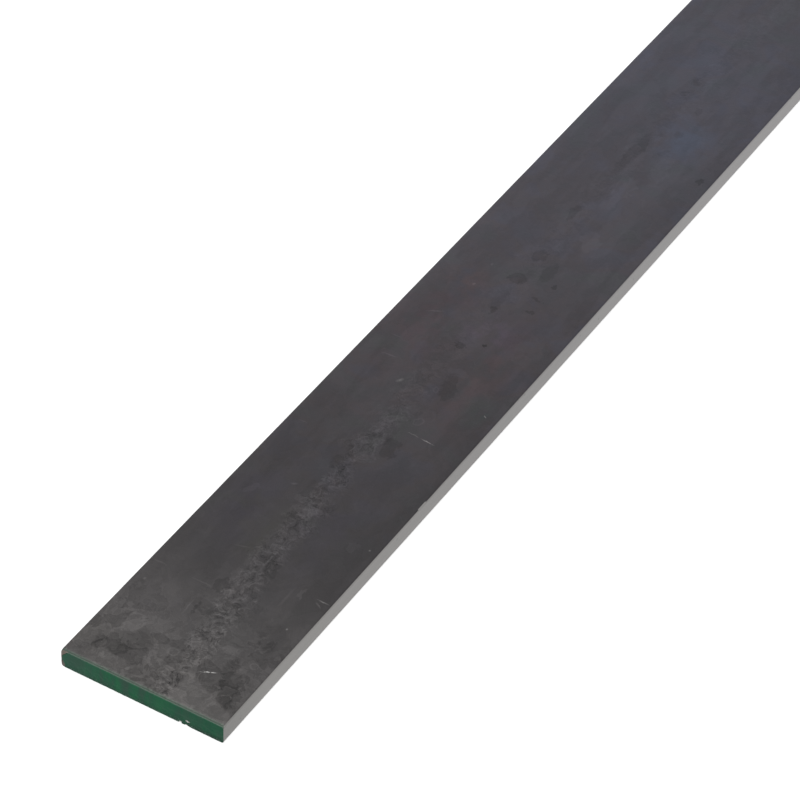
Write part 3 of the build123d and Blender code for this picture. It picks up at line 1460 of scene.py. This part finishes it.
@dataclass
class PaintFilm:
    """The thin coat of marking paint on the sheared end at +X.

    Attributes:
        bar: The bar that it lies on.
        thickness: How far it stands off the steel.
        overlap: How far it reaches into the steel, so that no light gets between.
        bare_margin: The bare strip beside the -Y edge.
        top_reach: How far it climbs onto the roll-over.
        corner_radius: The radius of its upper corner at +Y.
        name: The piece's name.
    """

    bar: RolledBar
    thickness: float = 0.06 * MM
    overlap: float = 0.015 * MM
    bare_margin: float = 0.45 * MM
    top_reach: float = 0.12 * MM
    corner_radius: float = 0.9 * MM
    name: str = "marking_paint"
    piece: bpy.types.Object = field(init=False)

    def build(self) -> bpy.types.Object:
        """Lifts the coat off the bar's end faces and gives it its thickness.

        Returns:
            The coat.
        """
        bar = self.bar
        sets = bar.face_sets()
        land_top = bar.thickness - bar.roll_over_drop

        def painted(centre: np.ndarray, normal: np.ndarray) -> np.ndarray:
            """Says which faces of the end the paint covers."""
            y, z = centre[:, 1] / MM, centre[:, 2] / MM
            top, radius = (land_top + self.top_reach) / MM, self.corner_radius / MM
            left = (-bar.width / 2 + self.bare_margin) / MM + 0.3 * np.sin(1.7 * z + 0.4)
            left = left + np.clip(z - 3.0, 0, 2) * 0.5
            past_arc = np.hypot(
                np.clip(y - (bar.width / 2 / MM - radius), 0, None),
                np.clip(z - (bar.thickness / MM - radius), 0, None),
            )
            waves = 0.22 * np.sin(1.9 * y + 0.6) + 0.16 * np.sin(4.3 * y) + 0.10 * np.sin(9.1 * y)
            low = 0.10 + 0.06 * waves
            on_end = (sets == Cut.SHEARED_END.value) & (centre[:, 0] > 0)
            return on_end & (y > left) & (z < top) & (z > low) & (past_arc < radius)

        known = set(bpy.data.objects)
        with picked(bar.piece, Element.FACE, painted) as count:
            log.info("painting %d faces", count)
            bpy.ops.mesh.duplicate()
            bpy.ops.mesh.separate(type="SELECTED")
        self.piece = next(o for o in bpy.data.objects if o not in known)
        self.piece.name = self.name
        with picked(self.piece, Element.VERTEX, everything):
            bpy.ops.transform.translate(value=(-self.overlap, 0.0, 0.0))
        apply_modifier(
            self.piece, "SOLIDIFY", thickness=self.thickness + self.overlap, offset=1.0
        )
        self.piece.data.materials.clear()
        self.piece.data.materials.append(MarkingPaint(land_top / MM).build())
        drop_maps(self.piece.data)
        log.info("%s: %d faces", self.name, len(self.piece.data.polygons))
        return self.piece


@dataclass(frozen=True)
class PhotoCamera:
    """The photograph's camera: a long lens that looks down on the painted end.

    Attributes:
        place: Where it stands, in metres.
        azimuth: Where it stands round the bar, in degrees from the side at -Y.
        elevation: Its height above the horizon, in degrees.
        roll: Its roll, in degrees.
        focal_length: The focal length in millimetres over a sensor 36 mm wide.
    """

    place: tuple[float, float, float] = (0.893224, 0.28884, 0.542295)
    azimuth: float = 118.424
    elevation: float = 41.352
    roll: float = 3.891
    focal_length: float = 172.17

    def build(self) -> bpy.types.Object:
        """Adds the camera and makes it the scene's.

        Returns:
            The camera.
        """
        data = bpy.data.cameras.new("photo_camera")
        camera = bpy.data.objects.new("photo_camera", data)
        bpy.context.scene.collection.objects.link(camera)
        turn, rise = math.radians(self.azimuth), math.radians(self.elevation)
        back = Vector(
            (math.sin(turn) * math.cos(rise), -math.cos(turn) * math.cos(rise), math.sin(rise))
        )
        level = (-back).to_track_quat("-Z", "Y").to_matrix()
        tilted = level @ Matrix.Rotation(math.radians(self.roll), 3, "Z")
        camera.matrix_world = Matrix.Translation(self.place) @ tilted.to_4x4()
        data.sensor_width, data.lens = 36.0, self.focal_length
        data.clip_start, data.clip_end = 0.01, 50.0
        bpy.context.scene.camera = camera
        return camera


@dataclass(frozen=True)
class SoftLamp:
    """A large soft light.

    Attributes:
        name: Its name.
        place: Where it hangs, in metres.
        target: The point that it faces.
        size: Its width and depth in metres.
        power: Its power in watts.
    """

    name: str
    place: tuple[float, float, float]
    target: tuple[float, float, float]
    size: tuple[float, float]
    power: float

    def build(self) -> bpy.types.Object:
        """Adds the lamp.

        Returns:
            The lamp.
        """
        data = bpy.data.lights.new(self.name, "AREA")
        data.shape, data.size, data.size_y = "RECTANGLE", *self.size
        data.energy = self.power
        lamp = bpy.data.objects.new(self.name, data)
        bpy.context.scene.collection.objects.link(lamp)
        aim = Vector(self.target) - Vector(self.place)
        lamp.matrix_world = (
            Matrix.Translation(self.place) @ aim.to_track_quat("-Z", "Y").to_matrix().to_4x4()
        )
        return lamp


@dataclass
class Studio:
    """The white floor, the even surrounding light and the soft lamps.

    Attributes:
        floor_side: The side of the floor in metres.
        floor_drop: How far it lies below the bar, so that the two never share a face.
        world_level: How bright the surrounding light is.
        lamps: The soft lamps.
    """

    floor_side: float = 30.0
    floor_drop: float = 0.02 * MM
    world_level: float = 0.62
    lamps: tuple[SoftLamp, ...] = (
        SoftLamp("high_softbox", (0.45, -0.15, 1.8), (0.3, 0.0, 0.0), (1.5, 1.2), 13.0),
        SoftLamp("side_softbox", (0.9, 1.3, 0.7), (0.35, 0.0, 0.0), (1.0, 0.8), 6.0),
    )

    def build(self) -> None:
        """Adds the floor, the world and the lamps."""
        bpy.ops.object.select_all(action="DESELECT")
        bpy.ops.mesh.primitive_plane_add(
            size=self.floor_side, location=(0.0, 0.0, -self.floor_drop)
        )
        floor = bpy.context.object
        floor.name = "paper_floor"
        floor.data.materials.append(WhitePaper().build())
        world = bpy.data.worlds.new("even_white_surround")
        bpy.context.scene.world = world
        world.use_nodes = True
        world.node_tree.nodes.clear()
        tree = world.node_tree
        light, white = (
            add_node(tree, "Background", {"Color": "#FFFFFF", "Strength": level})
            for level in (self.world_level, 1.0)
        )
        seen = seen_rays(tree, "Is Camera Ray", "Is Glossy Ray", "Is Transmission Ray")
        add_node(tree, "OutputWorld", (add_node(tree, "MixShader", (seen, light, white)),))
        for lamp in self.lamps:
            lamp.build()


def main() -> None:
    """Builds the bar, its paint, the studio and the camera, and reports each piece."""
    logging.basicConfig(level=logging.INFO, format="%(name)s: %(message)s")
    low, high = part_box("flat_bar")
    size = Vector(high) - Vector(low)
    bpy.context.scene.view_settings.view_transform = "Standard"
    PhotoCamera().build()
    Studio().build()
    half_length, half_width = size.x / 2, size.y / 2
    bites = (
        Bite((half_length + 0.35 * MM, 8.92 * MM, -0.05 * MM), (0.7 * MM, 0.5 * MM, 0.68 * MM)),
        Bite((half_length + 0.4 * MM, 10.5 * MM, -0.3 * MM), (0.75 * MM, 0.75 * MM, 0.75 * MM)),
        Bite((half_length + 0.22 * MM, 10.8 * MM, 1.3 * MM), (0.36 * MM, 0.6 * MM, 0.26 * MM)),
        Bite(
            (half_length - 75.05 * MM, half_width + 0.3 * MM, size.z + 0.1 * MM),
            (1.1 * MM, 0.55 * MM, 0.5 * MM),
            surface=Cut.NARROW_EDGE,
        ),
        Bite(
            (half_length - 106.3 * MM, half_width + 0.3 * MM, size.z + 0.15 * MM),
            (0.8 * MM, 0.5 * MM, 0.5 * MM),
            surface=Cut.NARROW_EDGE,
        ),
    )
    bar = RolledBar(size.x, size.y, size.z, bites=bites)
    bar.build()
    paint = PaintFilm(bar)
    paint.build()
    for piece, slot in ((bar.piece, "mill_scale_steel"), (paint.piece, "end_paint")):
        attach(piece, "root")
    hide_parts("flat_bar")


if __name__ == "__main__":
    main()
